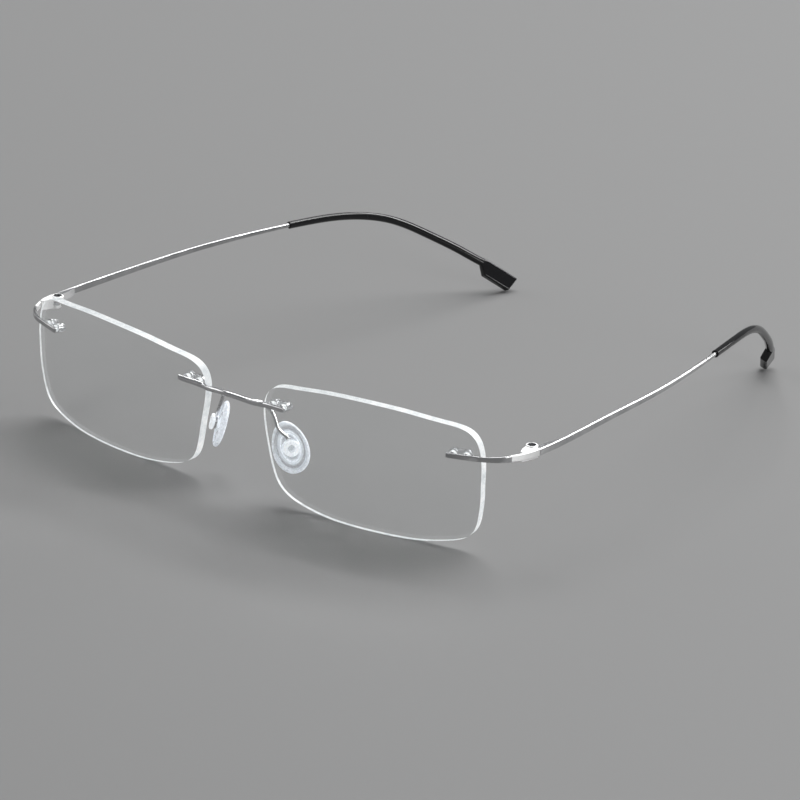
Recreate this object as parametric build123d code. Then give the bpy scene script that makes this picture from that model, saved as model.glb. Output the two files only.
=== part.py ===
from build123d import *
import math
import os

# Rimless eyeglasses, millimetres. +Z up, the lenses face -Y, the temples run
# towards +Y, +X is the wearer's left. The glasses stand open on a flat surface
# (z = 0) on the bottom edges of the lenses and the ends of the temple tips.
# The origin is the centre of the footprint of the bounding box.

# ---------------------------------------------------------------- dimensions
FRONT_TO_ORIGIN = 69.04      # lens centre plane lies this far in front of the origin
LENS_W = 53.6                # lens width (boxed), set by the outline below
LENS_H = 29.4                # lens height (boxed)
LENS_T = 1.8                 # lens thickness
LENS_R = 102.5               # base curve radius at mid thickness
LENS_X, LENS_Z = 34.84, 14.662  # lens centre from the middle of the frame / from the surface
WRAP = 7.64                  # face-form angle, degrees
TILT = 4.59                  # pantoscopic tilt, degrees
HOLE_R = 0.75                # drilled holes in the lenses
PLUG_SHANK_R = 0.72
PLUG_BORE_R = 0.47
PIN_R = 0.43
PIN_PITCH = 3.0              # two pins per fixing
BRIDGE_V, BRIDGE_PIN_U = 7.68, -23.0   # bridge fixing on the lens face (u outwards, v up)
BRIDGE_LEAN = 0.07                     # its slope on the lens, down towards the nose
END_V, END_PIN_U = 6.90, 21.7          # end piece fixing on the lens face

BRIDGE_T, BRIDGE_H = 1.0, 1.15
END_T = 0.60
END_H0, END_H1 = 1.05, 1.62  # strip height on the lens and at the hinge

HINGE_X, HINGE_Y = 65.64, 17.03        # hinge axis (vertical)
HINGE_Z0, HINGE_Z1 = 20.60, 23.20      # barrel
HINGE_R = 1.35
KNUCKLE = 0.80                         # end knuckles; the middle one fills the rest
KNUCKLE_GAP = 0.03
SCREW_R, SCREW_HEAD_R = 0.60, 0.95
SCREW_BORE_R = 0.64

TEMPLE_GAP = 0.12                      # between end piece and temple when open
TIP_R0, TIP_R1 = 0.82, 0.94            # sleeve radius at its mouth and before the paddle
PADDLE_W, PADDLE_T = 3.7, 1.8
PADDLE_LEN, SHOULDER_LEN = 9.1, 1.6
WIRE_R = 0.45
TIP_BORE_R = 0.53

PAD_L, PAD_W = 11.6, 7.6
ARM_R = 0.40

# outline of a lens seen from the front, u outwards from the nose, v up
OUTLINE = [(26.72, -1.2), (26.88, 4.03), (26.62, 7.5), (26.01, 9.71), (25.07, 11.25), (23.77, 12.34),
           (21.92, 13.04), (17.59, 13.66), (8.82, 14.52), (3.02, 14.7), (-4.99, 14.55), (-10.58, 14.14),
           (-18.58, 13), (-22.56, 12.22), (-24.33, 11.42), (-25.55, 10.28), (-26.35, 8.72), (-26.72, 6.69),
           (-26.56, 3.91), (-25.45, -1.78), (-24.1, -7.35), (-23.18, -9.52), (-21.99, -11),
           (-20.32, -12.13), (-17.77, -13.07), (-13.52, -13.95), (-8.59, -14.52), (-2.64, -14.7),
           (7.83, -14.62), (12.9, -14.32), (17.85, -13.54), (21.56, -12.61), (23.41, -11.72),
           (24.63, -10.53), (25.53, -8.8), (26.2, -5.96)]

os.makedirs("parts", exist_ok=True)


# ------------------------------------------------------------------ helpers
def vec(*a):
    return Vector(*a)


def shift(s):
    return Pos(0, -FRONT_TO_ORIGIN, 0) * s


def save(shape, name):
    shape = shift(shape)
    shape.label = name
    export_step(shape, "parts/" + name + ".step")


def pair(shape, name):
    """The wearer's left piece is built, the right one is its mirror image."""
    save(shape, "left_" + name)
    save(mirror(shape, about=Plane.YZ), "right_" + name)


def lerp_table(table, t):
    for (a, va), (b, vb) in zip(table, table[1:]):
        if t <= b:
            k = 0 if b == a else (t - a) / (b - a)
            k = max(0.0, min(1.0, k))
            return tuple(x + (y - x) * k for x, y in zip(va, vb))
    return table[-1][1]


def bar(path, table, ts, up, corner=0.42):
    """Solid through rounded rectangular sections (thickness, height) on a path."""
    secs = []
    for t in ts:
        p, tan = path.position_at(t), path.tangent_at(t)
        side = tan.cross(up).normalized()
        th, h = lerp_table(table, t)
        pl = Plane(origin=p, x_dir=side, z_dir=tan)
        secs.append(pl * RectangleRounded(th, h, min(th, h) * corner))
    return loft(secs)


def tube(path, rs, ts, up=Vector(0, 0, 1)):
    secs = []
    for t in ts:
        p, tan = path.position_at(t), path.tangent_at(t)
        side = tan.cross(up).normalized()
        secs.append(Plane(origin=p, x_dir=side, z_dir=tan) * Circle(lerp_table(rs, t)[0]))
    return loft(secs)


def steps(a, b, n):
    return [a + (b - a) * i / (n - 1) for i in range(n)]


def cyl(p, d, r, z0, z1):
    """Cylinder of radius r about the axis p + s*d, from s = z0 to z1."""
    pl = Plane(origin=p + d * z0, z_dir=d)
    return extrude(pl * Circle(r), amount=z1 - z0)


def prism(pts, z0, z1):
    return extrude(make_face(Polyline([(x, y, z0) for x, y in pts], close=True)), amount=z1 - z0, dir=(0, 0, 1))


# --------------------------------------------------------------- lens frame
w, t = math.radians(WRAP), math.radians(TILT)
LC = vec(LENS_X, 0, LENS_Z)
U = vec(math.cos(w), math.sin(w), 0)
V = vec(math.sin(t) * math.sin(w), -math.sin(t) * math.cos(w), math.cos(t))
N = U.cross(V)                                  # out of the front face
CENTRE = LC - N * LENS_R                        # centre of the base curve
lens_plane = Plane(origin=LC, x_dir=U, z_dir=N)


def on_lens(u, v, off=0.0):
    """Point over the lens mid surface at (u, v), off along the local normal; and that normal."""
    sag = LENS_R - math.sqrt(LENS_R ** 2 - u * u - v * v)
    p = LC + U * u + V * v - N * sag
    n = (p - CENTRE).normalized()
    return p + n * off, n


def fixing(u_mid, v_mid, lean=0.0):
    """Axes of the two pins of one fixing: points on the mid surface and the drilling direction."""
    p, n = on_lens(u_mid, v_mid)
    a = U + V * lean
    a = (a - n * a.dot(n)).normalized()
    return p, n, a, [p + a * s for s in (-PIN_PITCH / 2, PIN_PITCH / 2)]


outline = make_face(Spline([lens_plane.from_local_coords((a, b, 0)) for a, b in OUTLINE], periodic=True))
slab = extrude(outline, amount=9, both=True)
blank = slab & (Pos(*CENTRE) * Sphere(LENS_R + LENS_T / 2))
blank = blank - (Pos(*CENTRE) * Sphere(LENS_R - LENS_T / 2))

fix_bridge = fixing(BRIDGE_PIN_U, BRIDGE_V, BRIDGE_LEAN)
fix_end = fixing(END_PIN_U, END_V)
lens = blank
for p, n, a, pins in (fix_bridge, fix_end):
    for c in pins:
        lens -= cyl(c, n, HOLE_R, -4, 4)
pair(lens, "lens")


# ------------------------------------------------- clear double plugs (sleeves)
def plug(fix):
    p, n, a, pins = fix
    back = -LENS_T / 2 - 0.04
    b = n.cross(a)
    pl = Plane(origin=p + n * back, x_dir=a, z_dir=-n)
    body = extrude(pl * SlotCenterToCenter(PIN_PITCH, 2.1), amount=0.55)
    for c in pins:
        body += cyl(c, n, PLUG_SHANK_R, back - 0.1, LENS_T / 2 - 0.15)
        dome = cyl(c, -n, 0.92, -back + 0.5, -back + 1.75)
        dome = fillet(dome.edges().sort_by(Axis(origin=tuple(c), direction=tuple(-n)))[-1], 0.45)
        body += dome
    for c in pins:
        body -= cyl(c, n, PLUG_BORE_R, back - 1.3, 3)
    return body


pair(plug(fix_bridge), "bridge_plug")
pair(plug(fix_end), "end_piece_plug")

# ------------------------------------------------------------------- bridge
off = LENS_T / 2 + 0.05 + BRIDGE_T / 2
half = []
for u, drop in ((-20.2, 0.0), (-21.7, 0.0), (-23.2, 0.0), (-24.8, 0.02), (-26.2, 0.14)):
    half.append(on_lens(u, BRIDGE_V + BRIDGE_LEAN * (u - BRIDGE_PIN_U) - drop, off)[0])
half += [vec(6.1, -3.0, 22.55), vec(3.1, -3.95, 23.05)]
bridge_pts = [vec(-q.X, q.Y, q.Z) for q in half] + [vec(0, -4.35, 23.25)] + half[::-1]
bridge_path = Spline(bridge_pts)
table = [(0.0, (0.9, 1.12)), (0.2, (BRIDGE_T, 1.24)), (0.32, (1.02, BRIDGE_H)),
         (0.68, (1.02, BRIDGE_H)), (0.8, (BRIDGE_T, 1.24)), (1.0, (0.9, 1.12))]
bridge = bar(bridge_path, table, steps(0, 1, 25), vec(0, 0, 1))
for f in (bridge.faces().sort_by(Axis.X)[0], bridge.faces().sort_by(Axis.X)[-1]):
    bridge = fillet(f.edges(), 0.28)
save(bridge, "bridge")


def pins_of(fix, rear, bar_solid):
    p, n, a, pins = fix
    out = []
    for c in pins:
        out.append(cyl(c, n, PIN_R, rear, LENS_T / 2 + 0.4) - bar_solid)
    return out


def largest(s):
    return sorted(s.solids(), key=lambda q: q.volume)[-1]


PIN_REAR = -LENS_T / 2 - 0.04 - 1.15
bp = [largest(s) for s in pins_of(fix_bridge, PIN_REAR, bridge)]
bp += [mirror(s, about=Plane.YZ) for s in bp]
save(Compound(children=bp), "bridge_pins")

# --------------------------------------------------------------- end pieces
off = LENS_T / 2 + 0.02 + END_T / 2
ends = [on_lens(u, END_V, off)[0] for u in (19.1, 20.8, 22.5, 24.2, 25.9)]
end_pts = ends + [vec(62.75, 6.55, 21.86), vec(64.75, 8.45, 21.92), vec(66.3, 11.3, 21.95), vec(67.25, 14.4, 21.98),
                  vec(67.52, HINGE_Y - 0.02, 22.0)]
end_path = Spline(end_pts, tangents=[tuple(end_pts[1] - end_pts[0]), (0.02, 1, 0)], tangent_scalars=(1, 1))
table = [(0, (0.58, END_H0)), (0.35, (END_T, END_H0 + 0.08)), (0.75, (END_T, END_H1 - 0.1)), (1, (END_T, END_H1))]
end_piece = bar(end_path, table, steps(0, 1, 17), vec(0, 0, 1), corner=0.3)
end_piece = fillet(end_piece.faces().sort_by(Axis.X)[0].edges(), 0.16)
pair(end_piece, "end_piece")
pair(Compound(children=[largest(s) for s in pins_of(fix_end, PIN_REAR, end_piece)]), "end_piece_pins")

# ------------------------------------------------------------------- temples
H = vec(HINGE_X, HINGE_Y, 0)
temple_pts = [vec(67.53, HINGE_Y + TEMPLE_GAP - 0.02, 22.0), vec(67.5, 22.0, 22.03), vec(66.35, 40.8, 22.45),
              vec(64.75, 61.2, 22.72), vec(61.3, 81.6, 22.90), vec(58.45, 93.8, 22.85), vec(56.2, 102.0, 22.5),
              vec(53.75, 109.1, 21.5), vec(51.0, 116.3, 19.25), vec(47.75, 123.4, 15.35), vec(44.28, 130.0, 11.12),
              vec(40.75, 135.75, 7.00)]
path = Spline(temple_pts)


def at_y(y):
    lo, hi = 0.0, 1.0
    for _ in range(50):
        m = (lo + hi) / 2
        if path.position_at(m).Y < y:
            lo = m
        else:
            hi = m
    return (lo + hi) / 2


s_sleeve, s_wire, s_in = at_y(89.0), at_y(126.0), at_y(84.0)
table = [(0, (END_T, END_H1)), (at_y(30), (0.58, 1.58)), (at_y(60), (0.62, 1.25)), (s_in, (0.88, 0.98)),
         (s_sleeve - 0.002, (2 * WIRE_R, 2 * WIRE_R)), (1, (2 * WIRE_R, 2 * WIRE_R))]
ts = [0, at_y(17.8)] + [at_y(y) for y in (20, 23, 27, 32, 38, 45, 53, 61, 69, 76, 82, 86, 90, 94, 98, 102,
                                          105.5, 109, 112.5, 116, 119, 122, 124.2)] + [s_wire]
temple = bar(path, table, ts, vec(0, 0, 1), corner=0.44)
pair(temple, "temple")

# --------------------------------------------------------------- temple tips
# round sleeve on the wire, then a flat blade whose upper edge runs on from the
# upper side of the sleeve; the blade is thin towards the head and cut off at a slant
TIP_DIR = vec(-0.498, 0.700, -0.582).normalized()      # direction of the blade
TIP_CUT = vec(0.0, 0.846, 0.533)                       # direction of the end edge
tip_up = (TIP_CUT - TIP_DIR * TIP_CUT.dot(TIP_DIR)).normalized()
tip_thin = TIP_DIR.cross(tip_up)
tip_end = path.position_at(1)


def blade_section(s, th, h, r, up=None):
    up = up or tip_up
    c = tip_end + TIP_DIR * s - tip_up * (PADDLE_W / 2 - TIP_R1)
    return Plane(origin=tuple(c), x_dir=tuple(tip_thin), z_dir=tuple(tip_thin.cross(up))) * RectangleRounded(th, h, r)


sleeve = tube(path, [(s_sleeve, (TIP_R0,)), (1, (TIP_R1,))],
              [s_sleeve] + [at_y(y) for y in (92.5, 96, 99.5, 103, 106.5, 110, 113.5, 117, 120.5, 124, 127.5, 131)] + [1])
nose = Plane(origin=tuple(tip_end - TIP_DIR * 0.05), x_dir=tuple(tip_thin),
             z_dir=tuple(TIP_DIR)) * RectangleRounded(2 * TIP_R1 - 0.03, 2 * TIP_R1 - 0.03, TIP_R1 - 0.12)
shoulder = loft([nose, blade_section(SHOULDER_LEN, PADDLE_T, PADDLE_W, 0.4)], ruled=True)
cut_scale = 1 / TIP_CUT.cross(TIP_DIR).length
blade = loft([blade_section(SHOULDER_LEN - 0.001, PADDLE_T, PADDLE_W, 0.4),
              blade_section(PADDLE_LEN, PADDLE_T, PADDLE_W * cut_scale, 0.4, TIP_CUT)], ruled=True)
tip = sleeve + shoulder + blade
end_face = tip.faces().filter_by(GeomType.PLANE).sort_by(Axis.Z)[0]
tip = fillet(end_face.edges(), 0.25)
bore_ts = [s_sleeve - 0.004] + [at_y(y) for y in (90.5, 94, 98, 102, 105.5, 109, 112.5, 116, 119, 122, 125, 127.2)]
bore = tube(path, [(0, (TIP_BORE_R,)), (1, (TIP_BORE_R,))], bore_ts)
tip = tip - bore
pair(tip, "temple_tip")

# --------------------------------------------------------------------- hinge
zt = HINGE_Z1 - KNUCKLE                  # underside of the top knuckle
zb = HINGE_Z0 + KNUCKLE                  # top of the bottom knuckle
CB = 0.36                                # depth of the counterbore for the screw head
ZD = vec(0, 0, 1)
ring_top = cyl(H, ZD, HINGE_R, zt, HINGE_Z1)
ring_bot = cyl(H, ZD, HINGE_R, HINGE_Z0, zb)
ring_top = chamfer(ring_top.edges().group_by(Axis.Z)[-1], 0.12)
ring_bot = chamfer(ring_bot.edges().group_by(Axis.Z)[0], 0.12)
web = prism([(66.2, 12.5), (66.62, 12.5), (67.1, 13.9), (67.45, HINGE_Y - 0.06), (65.7, HINGE_Y - 0.06),
             (64.9, 15.9), (65.35, 14.2)], HINGE_Z0 + 0.22, HINGE_Z1 - 0.22)
front = ring_top + ring_bot + web
front -= cyl(H, ZD, HINGE_R + 0.08, zb, zt)
front -= cyl(H, ZD, SCREW_R + 0.015, HINGE_Z0 - 1, HINGE_Z1 + 1)
front -= cyl(H, ZD, SCREW_HEAD_R + 0.03, HINGE_Z1 - CB, HINGE_Z1 + 1)
front = largest(front - end_piece)
pair(front, "hinge_front_leaf")

mid = cyl(H, ZD, HINGE_R, zb + KNUCKLE_GAP, zt - KNUCKLE_GAP)
root = prism([(65.9, 17.25), (67.35, 17.25), (67.45, 19.6), (66.35, 19.6)], zb + KNUCKLE_GAP, zt - KNUCKLE_GAP)
tang = prism([(66.05, 17.9), (67.5, 17.9), (67.5, 24.3), (67.05, 24.3), (66.55, 22.6), (66.2, 19.6)], 21.15, 22.8)
tang -= cyl(H, ZD, HINGE_R + 0.12, 19, 25)
leaf = mid + root + tang
leaf -= cyl(H, ZD, SCREW_BORE_R, 19, 25)
leaf = largest(leaf - temple)
pair(leaf, "hinge_temple_leaf")

screw = cyl(H, ZD, SCREW_R, HINGE_Z0 + 0.05, HINGE_Z1 - CB + 0.02) + cyl(H, ZD, SCREW_HEAD_R, HINGE_Z1 - CB + 0.01, HINGE_Z1 + 0.08)
screw = chamfer(screw.edges().group_by(Axis.Z)[-1], 0.08)
slot = Pos(HINGE_X, HINGE_Y, HINGE_Z1) * Rot(0, 0, 32) * Box(2.4, 0.26, 0.40)
screw -= slot
pair(screw, "hinge_screw")

# ------------------------------------------------------------------ nose pads
PC = vec(9.8, 6.65, 10.9)                                   # middle of the pad
PL = vec(0.37, 0.10, -0.92).normalized()                    # long axis, top to bottom
PN = vec(0.724, -0.654, 0.221)
PN = (PN - PL * PN.dot(PL)).normalized()                    # away from the nose
pad_plane = Plane(origin=PC, x_dir=PL, z_dir=PN)
PAD_BACK, RING0, RING1, BUTTON0, BUTTON1 = 0.93, 1.16, 1.64, 1.87, 2.50
RING_R, RING_BORE = 1.60, 0.84
NECK_R, BUTTON_R = 0.75, 1.75


def pad_at(z):
    return Plane(origin=PC + PN * z, x_dir=PL, z_dir=PN)


def egg(z, sx, sy, dx=0.0):
    pts = []
    for i in range(16):
        a = 2 * math.pi * i / 16
        x = math.cos(a) * sx / 2
        y = math.sin(a) * sy / 2 * (1 + 0.12 * math.cos(a))
        pts.append(pad_at(z).from_local_coords((x + dx, y, 0)))
    return make_face(Spline(pts, periodic=True))


pad = loft([egg(-0.95, PAD_L - 2.6, PAD_W - 2.3), egg(-0.6, PAD_L - 0.7, PAD_W - 0.6), egg(-0.05, PAD_L, PAD_W),
            egg(0.5, PAD_L - 0.35, PAD_W - 0.3), egg(PAD_BACK, PAD_L - 1.8, PAD_W - 1.6)])
plate = extrude(pad_at(-0.15) * Ellipse(3.6, 2.2), amount=0.55)
neck = cyl(PC, PN, NECK_R, 0.38, BUTTON0 + 0.1)
button = cyl(PC, PN, BUTTON_R, BUTTON0, BUTTON1)
button = fillet(button.edges().sort_by(Axis(origin=tuple(PC), direction=tuple(PN)))[-1], 0.28)
button -= cyl(PC, PN, 0.62, BUTTON1 - 0.28, BUTTON1 + 1)
core = plate + neck + button
pair(core, "pad_core")
cavity = extrude(pad_at(-0.17) * Ellipse(3.62, 2.22), amount=0.59) + cyl(PC, PN, NECK_R + 0.02, 0.3, 3)
pad = pad - cavity
pair(pad, "nose_pad")

ring = cyl(PC, PN, RING_R, RING0, RING1) - cyl(PC, PN, RING_BORE, 0, 4)
rc = PC + PN * ((RING0 + RING1) / 2)
arm_pts = [vec(3.85, -3.10, 22.55), vec(4.9, -1.15, 21.95), vec(6.1, 1.60, 20.9), vec(6.98, 3.40, 19.4),
           vec(7.87, 4.02, 17.3), vec(8.75, 4.22, 15.2), rc - PL * 2.35 + PN * 0.18, rc - PL * 1.3]
arm_path = Spline(arm_pts)
table = [(0, (0.86, 0.86)), (0.75, (0.8, 0.8)), (0.90, (0.6, 0.8)), (0.96, (0.44, 0.9)), (1, (0.44, 0.95))]


def arm_section(s):
    p, tan = arm_path.position_at(s), arm_path.tangent_at(s)
    side = (PN - tan * PN.dot(tan)).normalized()
    th, h = lerp_table(table, s)
    return Plane(origin=p, x_dir=side, z_dir=tan) * RectangleRounded(th, h, min(th, h) * 0.45)


arm = loft([arm_section(s) for s in steps(0, 1, 17)])
arm = arm + ring
arm -= cyl(PC, PN, RING_BORE, 0, 4)
arm = largest(arm - bridge)
pair(arm, "pad_arm")
print("pad ring centre", (rc - vec(0, FRONT_TO_ORIGIN, 0)), "rock axis", PL.cross(PN), "normal", PN)
print("fixings", [(p - vec(0, FRONT_TO_ORIGIN, 0)) for p, *_ in (fix_bridge, fix_end)])
print("bridge length", bridge_path.length, "temple path", path.length)
print("lens z", lens.bounding_box().min.Z, "tip z", tip.bounding_box().min.Z, "y", bridge.bounding_box().min.Y,
      lens.bounding_box().min.Y, tip.bounding_box().max.Y)
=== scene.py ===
import bpy
import bmesh
import math
from mathutils import Matrix, Vector


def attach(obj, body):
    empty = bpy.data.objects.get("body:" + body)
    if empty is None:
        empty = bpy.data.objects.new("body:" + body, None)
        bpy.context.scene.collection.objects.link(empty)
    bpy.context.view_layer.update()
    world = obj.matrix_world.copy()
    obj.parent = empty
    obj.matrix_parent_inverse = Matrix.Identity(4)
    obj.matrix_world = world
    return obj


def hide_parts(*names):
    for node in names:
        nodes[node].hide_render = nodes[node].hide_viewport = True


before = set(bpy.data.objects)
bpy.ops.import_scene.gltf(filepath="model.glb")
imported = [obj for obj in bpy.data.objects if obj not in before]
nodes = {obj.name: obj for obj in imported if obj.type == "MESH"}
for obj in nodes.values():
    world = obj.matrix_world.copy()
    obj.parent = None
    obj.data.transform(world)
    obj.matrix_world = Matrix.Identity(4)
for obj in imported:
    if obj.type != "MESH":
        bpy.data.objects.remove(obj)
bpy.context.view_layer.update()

F = 0.06904                    # lens centre plane to origin, metres
SIDES = (("left", 1.0), ("right", -1.0))


# ------------------------------------------------------------ node helpers
def new_material(name):
    m = bpy.data.materials.new(name)
    m.use_nodes = True
    nt = m.node_tree
    for n in list(nt.nodes):
        nt.nodes.remove(n)
    out = nt.nodes.new("ShaderNodeOutputMaterial")
    bsdf = nt.nodes.new("ShaderNodeBsdfPrincipled")
    nt.links.new(bsdf.outputs["BSDF"], out.inputs["Surface"])
    return m, nt, bsdf, out


def coords(nt, scale=(1, 1, 1), rotation=(0, 0, 0)):
    tc = nt.nodes.new("ShaderNodeTexCoord")
    mp = nt.nodes.new("ShaderNodeMapping")
    mp.inputs["Scale"].default_value = scale
    mp.inputs["Rotation"].default_value = rotation
    nt.links.new(tc.outputs["Object"], mp.inputs["Vector"])
    return mp.outputs["Vector"]


def noise(nt, vector, scale, detail=4.0, rough=0.55):
    n = nt.nodes.new("ShaderNodeTexNoise")
    n.inputs["Scale"].default_value = scale
    n.inputs["Detail"].default_value = detail
    n.inputs["Roughness"].default_value = rough
    nt.links.new(vector, n.inputs["Vector"])
    return n.outputs["Fac"]


def ramp(nt, fac, stops):
    r = nt.nodes.new("ShaderNodeValToRGB")
    e = r.color_ramp.elements
    while len(e) < len(stops):
        e.new(0.5)
    for k, (p, c) in enumerate(stops):
        e[k].position = p
        e[k].color = (c, c, c, 1) if isinstance(c, float) else (*c, 1)
    nt.links.new(fac, r.inputs["Fac"])
    return r.outputs["Color"]


def map_range(nt, fac, a, b, lo=0.0, hi=1.0):
    r = nt.nodes.new("ShaderNodeMapRange")
    r.inputs["From Min"].default_value = lo
    r.inputs["From Max"].default_value = hi
    r.inputs["To Min"].default_value = a
    r.inputs["To Max"].default_value = b
    nt.links.new(fac, r.inputs["Value"])
    return r.outputs["Result"]


def bump(nt, height, strength, distance, normal=None):
    b = nt.nodes.new("ShaderNodeBump")
    b.inputs["Strength"].default_value = strength
    b.inputs["Distance"].default_value = distance
    nt.links.new(height, b.inputs["Height"])
    if normal is not None:
        nt.links.new(normal, b.inputs["Normal"])
    return b.outputs["Normal"]


def edge_wear(nt, lo=0.52, hi=0.62):
    g = nt.nodes.new("ShaderNodeNewGeometry")
    return map_range(nt, g.outputs["Pointiness"], 0.0, 1.0, lo, hi)


def mixer(nt, fac, a, b):
    m = nt.nodes.new("ShaderNodeMix")
    m.data_type = "RGBA"
    if isinstance(a, tuple):
        m.inputs[6].default_value = (*a, 1)
    else:
        nt.links.new(a, m.inputs[6])
    if isinstance(b, tuple):
        m.inputs[7].default_value = (*b, 1)
    else:
        nt.links.new(b, m.inputs[7])
    nt.links.new(fac, m.inputs[0])
    return m.outputs[2]


PC = Vector((0.0098, 0.00665 - F, 0.0109))      # middle of the left nose pad, its long axis and its face
PL = Vector((0.37, 0.10, -0.92)).normalized()
PN = Vector((0.724, -0.654, 0.220))
PN = (PN - PL * PN.dot(PL)).normalized()
PW = PN.cross(PL)


def pad_radius(nt, sx, a, b):
    """Distance from the middle of a nose pad within its own face, 1.0 on the ellipse with half axes a, b."""
    tc = nt.nodes.new("ShaderNodeTexCoord")
    rel = nt.nodes.new("ShaderNodeVectorMath")
    rel.operation = "SUBTRACT"
    rel.inputs[1].default_value = (PC.x * sx, PC.y, PC.z)
    nt.links.new(tc.outputs["Object"], rel.inputs[0])
    flat = nt.nodes.new("ShaderNodeCombineXYZ")
    for axis, half, k in ((PL, a, 0), (PW, b, 1)):
        d = nt.nodes.new("ShaderNodeVectorMath")
        d.operation = "DOT_PRODUCT"
        d.inputs[1].default_value = (axis.x * sx / half, axis.y / half, axis.z / half)
        nt.links.new(rel.outputs[0], d.inputs[0])
        nt.links.new(d.outputs["Value"], flat.inputs[k])
    length = nt.nodes.new("ShaderNodeVectorMath")
    length.operation = "LENGTH"
    nt.links.new(flat.outputs[0], length.inputs[0])
    return length.outputs["Value"]


def times(nt, a, b):
    m = nt.nodes.new("ShaderNodeMath")
    m.operation = "MULTIPLY"
    nt.links.new(a, m.inputs[0])
    nt.links.new(b, m.inputs[1])
    return m.outputs[0]


# --------------------------------------------------------------- materials
def titanium(name, dark=0.76, light=0.88, along=(1, 1, 1), rough=(0.15, 0.27), lit_satin_from_y=None):
    """Polished titanium: faint drawn lines along the strip, slight cloudiness, brighter rubbed edges."""
    m, nt, s, _ = new_material(name)
    v = coords(nt)
    streak = noise(nt, coords(nt, scale=along), 2600, 3.0, 0.6)
    cloud = noise(nt, v, 260, 3.0, 0.5)
    base = ramp(nt, cloud, [(0.30, (dark, dark * 1.005, dark * 1.02)), (0.70, (light, light * 1.0, light * 1.01))])
    col = mixer(nt, edge_wear(nt), base, (0.93, 0.93, 0.94))
    worn = map_range(nt, streak, rough[0], rough[1], 0.3, 0.7)
    if lit_satin_from_y is not None:
        # the hinge end gets an even satin finish with a sharp start: rougher (a real finish), and painted much lighter
        # (0.88-0.96 against 0.43-0.57), painted light for the bright light that falls on that end
        xyz = nt.nodes.new("ShaderNodeSeparateXYZ")
        nt.links.new(v, xyz.inputs[0])
        mask = map_range(nt, xyz.outputs["Y"], 0.0, 1.0, lit_satin_from_y - 0.0001, lit_satin_from_y + 0.0001)
        grain = noise(nt, v, 9000, 2.0, 0.5)
        col = mixer(nt, mask, col, ramp(nt, grain, [(0.3, (0.88, 0.88, 0.88)), (0.7, (0.96, 0.96, 0.955))]))
        grit = map_range(nt, grain, 0.46, 0.58, 0.3, 0.7)
        m2 = nt.nodes.new("ShaderNodeMix")
        m2.data_type = "FLOAT"
        nt.links.new(mask, m2.inputs[0])
        nt.links.new(worn, m2.inputs[2])
        nt.links.new(grit, m2.inputs[3])
        worn = m2.outputs[0]
    nt.links.new(col, s.inputs["Base Color"])
    nt.links.new(worn, s.inputs["Roughness"])
    nt.links.new(bump(nt, streak, 0.12, 0.000012), s.inputs["Normal"])
    s.inputs["Metallic"].default_value = 1.0
    return m


def steel_screw():
    m, nt, s, _ = new_material("turned_steel")
    turned = noise(nt, coords(nt, scale=(1, 1, 0.15)), 5200, 2.0, 0.5)
    col = ramp(nt, turned, [(0.3, (0.16, 0.16, 0.17)), (0.7, (0.28, 0.28, 0.29))])
    nt.links.new(col, s.inputs["Base Color"])
    nt.links.new(map_range(nt, turned, 0.12, 0.26), s.inputs["Roughness"])
    nt.links.new(bump(nt, turned, 0.15, 0.00001), s.inputs["Normal"])
    s.inputs["Metallic"].default_value = 1.0
    return m


def black_tip():
    """Glossy injection-moulded sleeve: near black, faint orange peel, softly rubbed edges."""
    m, nt, s, _ = new_material("gloss_black_tip")
    v = coords(nt)
    peel = noise(nt, v, 900, 2.0, 0.45)
    fine = noise(nt, v, 5200, 3.0, 0.6)
    col = ramp(nt, fine, [(0.35, (0.0055, 0.0055, 0.006)), (0.75, (0.012, 0.012, 0.013))])
    col = mixer(nt, edge_wear(nt, 0.55, 0.75), col, (0.03, 0.03, 0.032))
    nt.links.new(col, s.inputs["Base Color"])
    nt.links.new(map_range(nt, fine, 0.05, 0.12), s.inputs["Roughness"])
    nt.links.new(bump(nt, peel, 0.05, 0.00003), s.inputs["Normal"])
    s.inputs["IOR"].default_value = 1.42
    s.inputs["Coat Weight"].default_value = 0.0
    return m


def clear_plastic(name, tint, rough, trans=0.92, ior=1.5, fine_scale=1500, cloud=0.03):
    m, nt, s, _ = new_material(name)
    v = coords(nt)
    n = noise(nt, v, fine_scale, 3.0, 0.5)
    lo = tuple(max(0.0, c - cloud) for c in tint)
    col = ramp(nt, n, [(0.3, lo), (0.7, tint)])
    nt.links.new(col, s.inputs["Base Color"])
    nt.links.new(map_range(nt, n, rough[0], rough[1]), s.inputs["Roughness"])
    nt.links.new(bump(nt, n, 0.06, 0.00002), s.inputs["Normal"])
    s.inputs["Transmission Weight"].default_value = trans
    s.inputs["IOR"].default_value = ior
    return m


def milk_and_painted_glow(nt, m, tint, colour, strength, clear_parts, where, out, rough=(0.18, 0.32)):
    """Mix a clear shader with a milky one that also carries a painted glow (emission) in place of scattered light, by a
    mask that may be broken up by noise.
    """
    v = coords(nt)
    n = noise(nt, v, 1100, 3.0, 0.5)
    e = nt.nodes.new("ShaderNodeBsdfPrincipled")
    nt.links.new(ramp(nt, n, [(0.3, tint[0]), (0.7, tint[1])]), e.inputs["Base Color"])
    nt.links.new(map_range(nt, n, rough[0], rough[1]), e.inputs["Roughness"])
    e.inputs["Transmission Weight"].default_value = 0.10
    e.inputs["IOR"].default_value = 1.41
    nt.links.new(ramp(nt, n, [(0.25, tuple(c * 0.72 for c in colour)), (0.75, colour)]), e.inputs["Emission Color"])
    e.inputs["Emission Strength"].default_value = strength
    cloud = map_range(nt, noise(nt, v, 2300, 2.0, 0.5), 0.72, 1.0, 0.35, 0.62)
    mix = nt.nodes.new("ShaderNodeMixShader")
    nt.links.new(times(nt, where, cloud), mix.inputs[0])
    nt.links.new(clear_parts, mix.inputs[1])
    nt.links.new(e.outputs["BSDF"], mix.inputs[2])
    nt.links.new(mix.outputs[0], out.inputs["Surface"])


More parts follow.
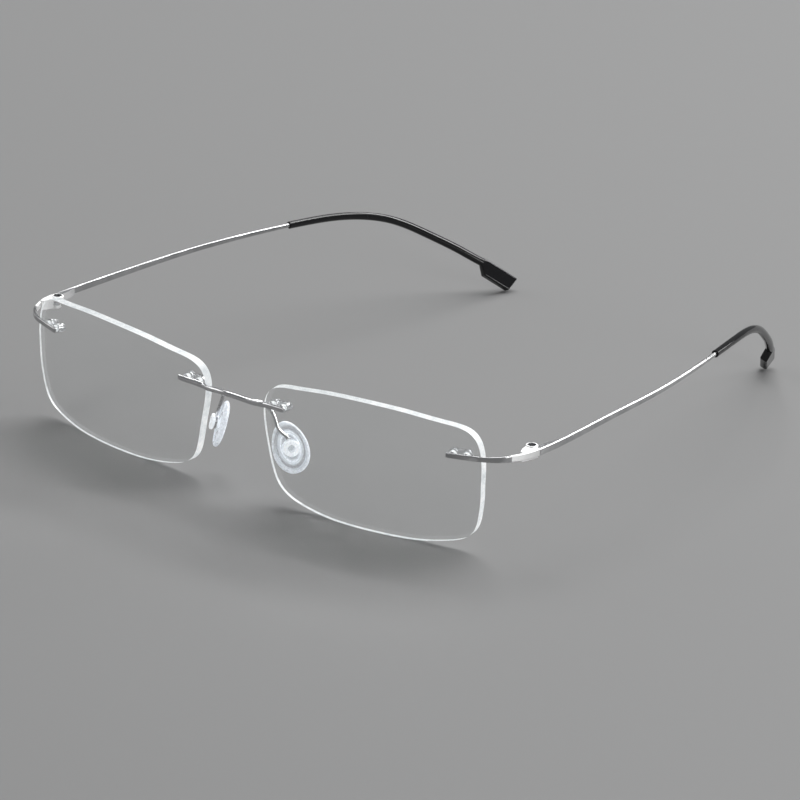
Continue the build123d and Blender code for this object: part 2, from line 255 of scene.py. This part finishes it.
def silicone_material(side, sx):
    """Clear moulded silicone: water-clear in the thin parts, milky with a painted glow (emission) where the section
    thickens into a ridge and along the rim.
    """
    m, nt, s, out = new_material(side + "_clear_silicone")
    n = noise(nt, coords(nt), 1100, 3.0, 0.5)
    nt.links.new(ramp(nt, n, [(0.3, (0.91, 0.94, 0.98)), (0.7, (0.97, 0.98, 0.995))]), s.inputs["Base Color"])
    nt.links.new(map_range(nt, n, 0.08, 0.20), s.inputs["Roughness"])
    nt.links.new(bump(nt, n, 0.05, 0.00002), s.inputs["Normal"])
    s.inputs["Transmission Weight"].default_value = 0.95
    s.inputs["IOR"].default_value = 1.41
    # painted glow: ring mask in the pad's face that lights the ridge, the rim and the outer edge by emission
    where = ramp(nt, pad_radius(nt, sx, 0.0058, 0.0038),
                 [(0.0, 0.05), (0.54, 0.06), (0.60, 0.55), (0.645, 0.55), (0.70, 0.08), (0.81, 0.08), (0.88, 0.72), (1.0, 0.92)])
    milk_and_painted_glow(nt, m, ((0.86, 0.90, 0.96), (0.95, 0.97, 1.0)), (0.90, 0.95, 1.0), 0.34, s.outputs["BSDF"], where, out)
    return m


def core_material(side, sx):
    """Hard clear core of a nose pad: its button and the edge of its plate are given a painted glow (emission) as if
    catching the light, its dimple stays clear.
    """
    m, nt, s, out = new_material(side + "_clear_pad_core")
    n = noise(nt, coords(nt), 1500, 3.0, 0.5)
    nt.links.new(ramp(nt, n, [(0.3, (0.88, 0.91, 0.94)), (0.7, (0.95, 0.97, 0.98))]), s.inputs["Base Color"])
    nt.links.new(map_range(nt, n, 0.06, 0.16), s.inputs["Roughness"])
    nt.links.new(bump(nt, n, 0.06, 0.00002), s.inputs["Normal"])
    s.inputs["Transmission Weight"].default_value = 0.85
    s.inputs["IOR"].default_value = 1.5
    disc = ramp(nt, pad_radius(nt, sx, 0.004, 0.004), [(0.0, 0.12), (0.15, 0.15), (0.22, 0.95), (0.43, 1.0), (0.47, 0.0), (1.0, 0.0)])
    plate = ramp(nt, pad_radius(nt, sx, 0.0036, 0.0022), [(0.0, 0.10), (0.70, 0.16), (0.86, 0.80), (1.0, 0.95)])
    core_glow_mask = nt.nodes.new("ShaderNodeMath")
    core_glow_mask.operation = "MAXIMUM"
    nt.links.new(disc, core_glow_mask.inputs[0])
    nt.links.new(plate, core_glow_mask.inputs[1])
    milk_and_painted_glow(nt, m, ((0.90, 0.92, 0.95), (0.97, 0.98, 1.0)), (0.95, 0.98, 1.0), 0.46, s.outputs["BSDF"], core_glow_mask.outputs[0], out, (0.12, 0.24))
    return m


def lens_material(name, normal):
    """Clear coated lens; its ground and polished rim is told apart by where the surface faces, and the rim is given a
    painted glow (emission).
    """
    m, nt, s, out = new_material(name)
    v = coords(nt)
    smear = noise(nt, v, 120, 4.0, 0.6)
    col = ramp(nt, smear, [(0.2, (0.975, 0.985, 0.985)), (0.8, (0.992, 0.996, 0.996))])
    nt.links.new(col, s.inputs["Base Color"])
    nt.links.new(map_range(nt, smear, 0.0, 0.03, 0.35, 0.8), s.inputs["Roughness"])
    s.inputs["Transmission Weight"].default_value = 1.0
    s.inputs["IOR"].default_value = 1.5
    # polished rim: a painted glow (emission) stands in for the light gathered inside the lens that leaves here, broken
    # into fine uneven streaks like those left by the grinding wheel
    e = nt.nodes.new("ShaderNodeBsdfPrincipled")
    grind = noise(nt, v, 3800, 3.0, 0.6)
    streak = noise(nt, v, 420, 5.0, 0.7)
    ecol = ramp(nt, grind, [(0.3, (0.10, 0.11, 0.115)), (0.7, (0.20, 0.21, 0.215))])
    nt.links.new(ecol, e.inputs["Base Color"])
    nt.links.new(map_range(nt, grind, 0.18, 0.34), e.inputs["Roughness"])
    nt.links.new(bump(nt, grind, 0.10, 0.00002), e.inputs["Normal"])
    e.inputs["IOR"].default_value = 1.5
    rim_painted_glow = ramp(nt, streak, [(0.30, (0.62, 0.66, 0.68)), (0.52, (0.86, 0.89, 0.90)), (0.66, (1.0, 1.0, 1.0))])
    nt.links.new(rim_painted_glow, e.inputs["Emission Color"])
    e.inputs["Emission Strength"].default_value = 0.74
    g = nt.nodes.new("ShaderNodeNewGeometry")
    dot = nt.nodes.new("ShaderNodeVectorMath")
    dot.operation = "DOT_PRODUCT"
    dot.inputs[1].default_value = normal
    nt.links.new(g.outputs["True Normal"], dot.inputs[0])
    ab = nt.nodes.new("ShaderNodeMath")
    ab.operation = "ABSOLUTE"
    nt.links.new(dot.outputs["Value"], ab.inputs[0])
    rim = map_range(nt, ab.outputs[0], 1.0, 0.0, 0.45, 0.7)
    mix = nt.nodes.new("ShaderNodeMixShader")
    nt.links.new(rim, mix.inputs[0])
    nt.links.new(s.outputs["BSDF"], mix.inputs[1])
    nt.links.new(e.outputs["BSDF"], mix.inputs[2])
    nt.links.new(mix.outputs[0], out.inputs["Surface"])
    return m


# TI_END and TI_TEMPLE are darker copies of the polished titanium (0.43-0.57 against 0.66-0.80): painted shade that
# makes the end pieces, hinge front leaves and temples read as grey faces below their bright edges; the satin hinge end
# of TI_END is painted lighter instead
TI = titanium("polished_titanium", 0.66, 0.80, along=(0.12, 0.12, 1))
TI_END = titanium("end_piece_titanium_painted_tones", 0.43, 0.57, along=(0.12, 0.12, 1), lit_satin_from_y=0.0099 - F)
TI_TEMPLE = titanium("drawn_titanium_painted_darker", 0.43, 0.57, along=(1, 0.06, 1))
STEEL = steel_screw()
TIP = black_tip()
PLUG = clear_plastic("clear_sleeve", (0.95, 0.96, 0.97), (0.04, 0.12), 0.9, 1.5)
CORE = {side: core_material(side, sx) for side, sx in SIDES}
SILICONE = {side: silicone_material(side, sx) for side, sx in SIDES}
LENS = {"left": lens_material("lens_left", (0.1326, -0.9880, -0.0800)),
        "right": lens_material("lens_right", (-0.1326, -0.9880, -0.0800))}


def dress(node, material):
    o = nodes[node]
    o.data.materials.clear()
    o.data.materials.append(material)


dress("bridge", TI)
dress("bridge_pins", TI)
for side, sx in SIDES:
    dress(side + "_lens", LENS[side])
    dress(side + "_bridge_plug", PLUG)
    dress(side + "_end_piece_plug", PLUG)
    dress(side + "_end_piece", TI_END)
    dress(side + "_end_piece_pins", TI)
    dress(side + "_hinge_front_leaf", TI_END)
    dress(side + "_hinge_temple_leaf", TI)
    dress(side + "_hinge_screw", STEEL)
    dress(side + "_pad_arm", TI)
    dress(side + "_temple", TI_TEMPLE)
    dress(side + "_temple_tip", TIP)
    dress(side + "_pad_core", CORE[side])
    dress(side + "_nose_pad", SILICONE[side])


# ------------------------------------------------------- detailed nose pads
# Moulded silicone pad: domed towards the nose, rolled rim, a groove and a second
# ridge on the arm side, and a low boss around the neck of the hard core.
PROFILE = [(0.10, -0.948), (0.22, -0.944), (0.35, -0.930), (0.48, -0.902), (0.60, -0.852), (0.70, -0.785),
           (0.79, -0.690), (0.865, -0.565), (0.925, -0.410), (0.968, -0.235), (0.992, -0.060), (0.998, 0.020),
           (0.992, 0.045), (0.998, 0.070), (0.996, 0.200), (0.985, 0.350), (0.968, 0.480), (0.945, 0.590),
           (0.918, 0.680), (0.888, 0.740), (0.858, 0.760), (0.832, 0.745), (0.812, 0.700), (0.797, 0.630),
           (0.780, 0.565), (0.758, 0.530), (0.730, 0.518), (0.700, 0.520), (0.672, 0.545), (0.650, 0.590),
           (0.628, 0.618), (0.604, 0.612), (0.582, 0.580), (0.562, 0.545), (0.530, 0.522), (0.480, 0.512),
           (0.420, 0.508), (0.350, 0.510), (0.290, 0.530), (0.255, 0.575), (0.232, 0.640), (0.205, 0.672),
           (0.165, 0.676), (0.120, 0.640), (0.060, 0.630)]
SEG = 128


def nose_pad(side, sx):
    bm = bmesh.new()
    rings = []
    for fr, t in PROFILE:
        ring = []
        for k in range(SEG):
            a = 2 * math.pi * k / SEG
            x = math.cos(a) * 0.0058 * fr
            y = math.sin(a) * 0.0038 * fr * (1 + 0.12 * math.cos(a))
            sag = 0.10 * math.cos(a) ** 2 * fr * fr if t < 0 else 0.0
            p = PC + PL * x + PW * y + PN * ((t + sag) / 1000)
            ring.append(bm.verts.new((p.x * sx, p.y, p.z)))
        rings.append(ring)
    for a, b in zip(rings, rings[1:]):
        for k in range(SEG):
            j = (k + 1) % SEG
            bm.faces.new((a[k], a[j], b[j], b[k]))
    for ring, t in ((rings[0], PROFILE[0][1] - 0.002), (rings[-1], PROFILE[-1][1])):
        c = PC + PN * (t / 1000)
        cv = bm.verts.new((c.x * sx, c.y, c.z))
        for k in range(SEG):
            bm.faces.new((ring[k], ring[(k + 1) % SEG], cv))
    bmesh.ops.recalc_face_normals(bm, faces=bm.faces)
    for f in bm.faces:
        f.smooth = True
    me = bpy.data.meshes.new(side + "_silicone_pad")
    bm.to_mesh(me)
    bm.free()
    o = bpy.data.objects.new(side + "_silicone_pad", me)
    bpy.context.scene.collection.objects.link(o)
    me.materials.append(SILICONE[side])
    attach(o, side + "_pad")
    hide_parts(side + "_nose_pad")
    return o


for side, sx in SIDES:
    nose_pad(side, sx)


# -------------------------------------------------------------- floor, light
def plain(name, value, rough=0.6):
    m, nt, s, _ = new_material(name)
    n = noise(nt, coords(nt), 3.0, 2.0, 0.4)
    nt.links.new(ramp(nt, n, [(0.0, value * 0.985), (1.0, value)]), s.inputs["Base Color"])
    s.inputs["Roughness"].default_value = rough
    return m


mesh = bpy.data.meshes.new("floor")
bm = bmesh.new()
bmesh.ops.create_grid(bm, x_segments=4, y_segments=4, size=4.0)
bm.to_mesh(mesh)
bm.free()
floor = bpy.data.objects.new("floor", mesh)
floor.location = (0, 0, -0.00005)
floor.data.materials.append(plain("pale_floor", 0.20, 0.60))
bpy.context.scene.collection.objects.link(floor)


def softbox(name, at, look, size, power, colour=(1, 1, 1), roll=0):
    light = bpy.data.lights.new(name, "AREA")
    light.shape = "RECTANGLE"
    light.size, light.size_y = size
    light.energy = power
    light.color = colour
    o = bpy.data.objects.new(name, light)
    o.location = at
    o.rotation_euler = (Vector(look) - Vector(at)).to_track_quat("-Z", "Y").to_euler()
    o.rotation_euler.rotate_axis("Z", math.radians(roll))
    bpy.context.scene.collection.objects.link(o)
    return o


softbox("overhead", (-0.15, 0.75, 1.15), (0, 0, 0.02), (1.6, 0.9), 14)
softbox("overhead_tube", (-0.12, 0.68, 1.08), (0, 0, 0.02), (1.5, 0.08), 4)
softbox("back_strip", (0.24, 1.16, 0.86), (0, 0.05, 0.02), (1.5, 0.16), 9, roll=10)
softbox("left_panel", (-1.5, -0.5, 0.70), (0, 0, 0.02), (1.3, 1.0), 6)
softbox("right_panel", (0.75, 1.50, 0.60), (0, 0, 0.02), (0.9, 0.7), 7)
softbox("right_fill", (1.50, -0.15, 0.28), (0, 0, 0.02), (0.7, 0.45), 9)
softbox("front_fill", (0.95, -1.45, 1.35), (0, 0, 0.02), (1.6, 1.2), 3)

world = bpy.data.worlds.new("studio")
bpy.context.scene.world = world
world.use_nodes = True
world.node_tree.nodes["Background"].inputs["Color"].default_value = (0.86, 0.88, 0.90, 1)
world.node_tree.nodes["Background"].inputs["Strength"].default_value = 0.22
bpy.context.scene.view_settings.view_transform = "Standard"

# --------------------------------------------------------------------- camera
AZ, EL, ROLL = 0.664872, 0.356135, 0.037616
ca, sa, ce, se = math.cos(AZ), math.sin(AZ), math.cos(EL), math.sin(EL)
back = Vector((sa * ce, -ca * ce, se))
right = Vector((ca, sa, 0))
up = back.cross(right)
R = right * math.cos(ROLL) + up * math.sin(ROLL)
U = up * math.cos(ROLL) - right * math.sin(ROLL)
cam = bpy.data.cameras.new("camera")
cam.sensor_width = 36.0
cam.lens = 378.886
cam.shift_x, cam.shift_y = 0.00112, -0.00241
cam.clip_start, cam.clip_end = 0.05, 20
cam_obj = bpy.data.objects.new("camera", cam)
P = Vector((1.05909, -1.29579 - F, 0.64479))
cam_obj.matrix_world = Matrix(((R.x, U.x, back.x, P.x), (R.y, U.y, back.y, P.y), (R.z, U.z, back.z, P.z), (0, 0, 0, 1)))
bpy.context.scene.collection.objects.link(cam_obj)
bpy.context.scene.camera = cam_obj
